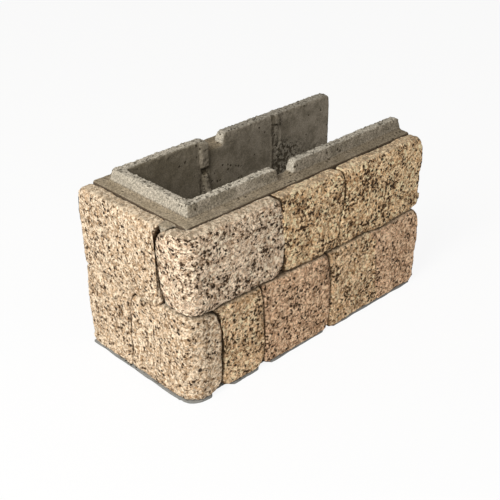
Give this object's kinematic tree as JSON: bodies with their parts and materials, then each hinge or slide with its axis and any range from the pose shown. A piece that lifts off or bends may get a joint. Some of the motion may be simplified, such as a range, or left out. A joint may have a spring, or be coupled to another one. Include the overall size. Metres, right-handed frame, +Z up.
{
  "type": "hollow corner block",
  "caption": "Hollow concrete corner block with a raised tongue on top, open at one end and faced with rounded granite stones on its front and closed end.",
  "frame": {"origin": "centre of the object's box at the level of its flat underside", "axes": "+X along the length towards the open end, -Y towards the stone-faced front, +Z up"},
  "size_m": [0.51, 0.243, 0.295],
  "materials": {
    "concrete": "matte",
    "granite_cream": "matte",
    "granite_golden": "matte",
    "granite_grey_pink": "matte",
    "granite_tan": "matte",
    "granite_rose": "matte"
  },
  "bodies": {
    "root": {"concrete_body": "concrete", "upper_corner_stone": "granite_grey_pink", "upper_end_stone": "granite_cream", "upper_front_stone_middle": "granite_golden", "upper_front_stone_right": "granite_golden", "lower_corner_stone": "granite_cream", "lower_end_stone": "granite_cream", "lower_front_stone_1": "granite_tan", "lower_front_stone_2": "granite_rose", "lower_front_stone_3": "granite_tan", "lower_front_stone_4": "granite_rose"}
  },
  "joints": []
}
